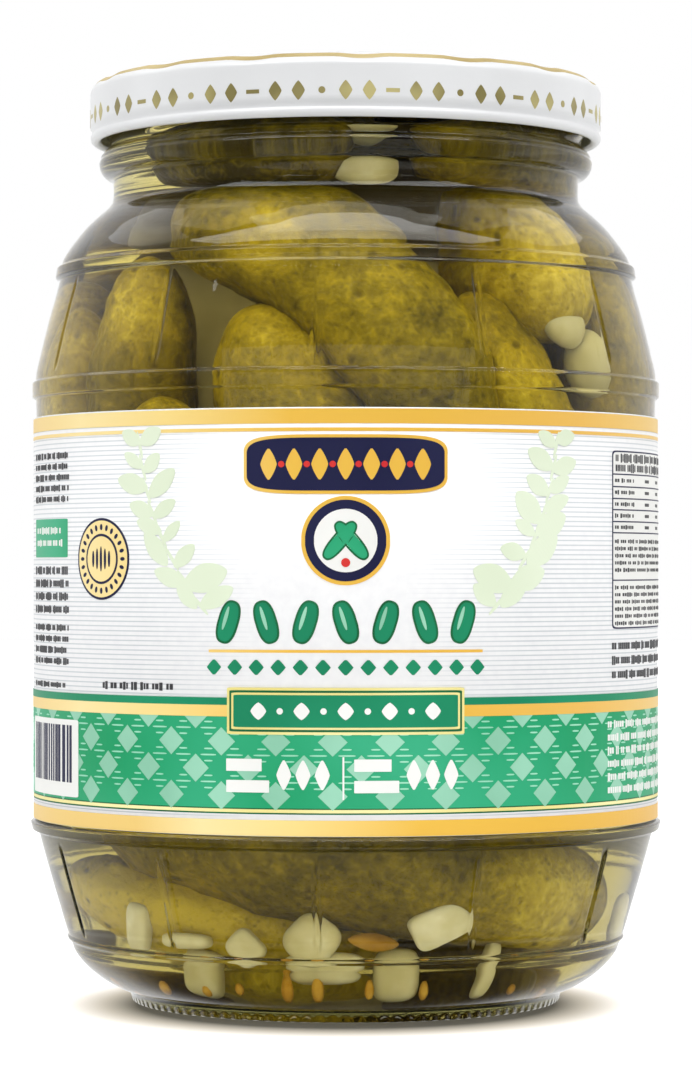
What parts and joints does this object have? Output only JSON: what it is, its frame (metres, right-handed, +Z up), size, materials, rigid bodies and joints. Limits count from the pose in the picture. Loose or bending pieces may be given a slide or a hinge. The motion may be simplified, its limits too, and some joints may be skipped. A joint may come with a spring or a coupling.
{
  "type": "pickle jar",
  "caption": "Barrel-shaped glass jar of whole gherkins in brine, shut with a white twist-off lid and wrapped in a plain printed paper label.",
  "frame": {"origin": "on the ground below the jar's axis, at the middle of its foot", "axes": "+Z up along the jar's axis, -Y towards the front of the label, +X to the right seen from the front"},
  "size_m": [0.1054, 0.1054, 0.1536],
  "materials": {
    "glass": "clear flint glass, smooth, with raised hoops",
    "lid": "white lacquered tinplate with a pale gold rim",
    "label": "coated paper with gold bands, fine lines and a green check",
    "gherkin": "wet mottled skin, olive to yellow, with darker dots and small bumps"
  },
  "bodies": {
    "root": {"jar": "glass", "lid": "lid", "label": "label", "pickles": "gherkin"}
  },
  "joints": []
}
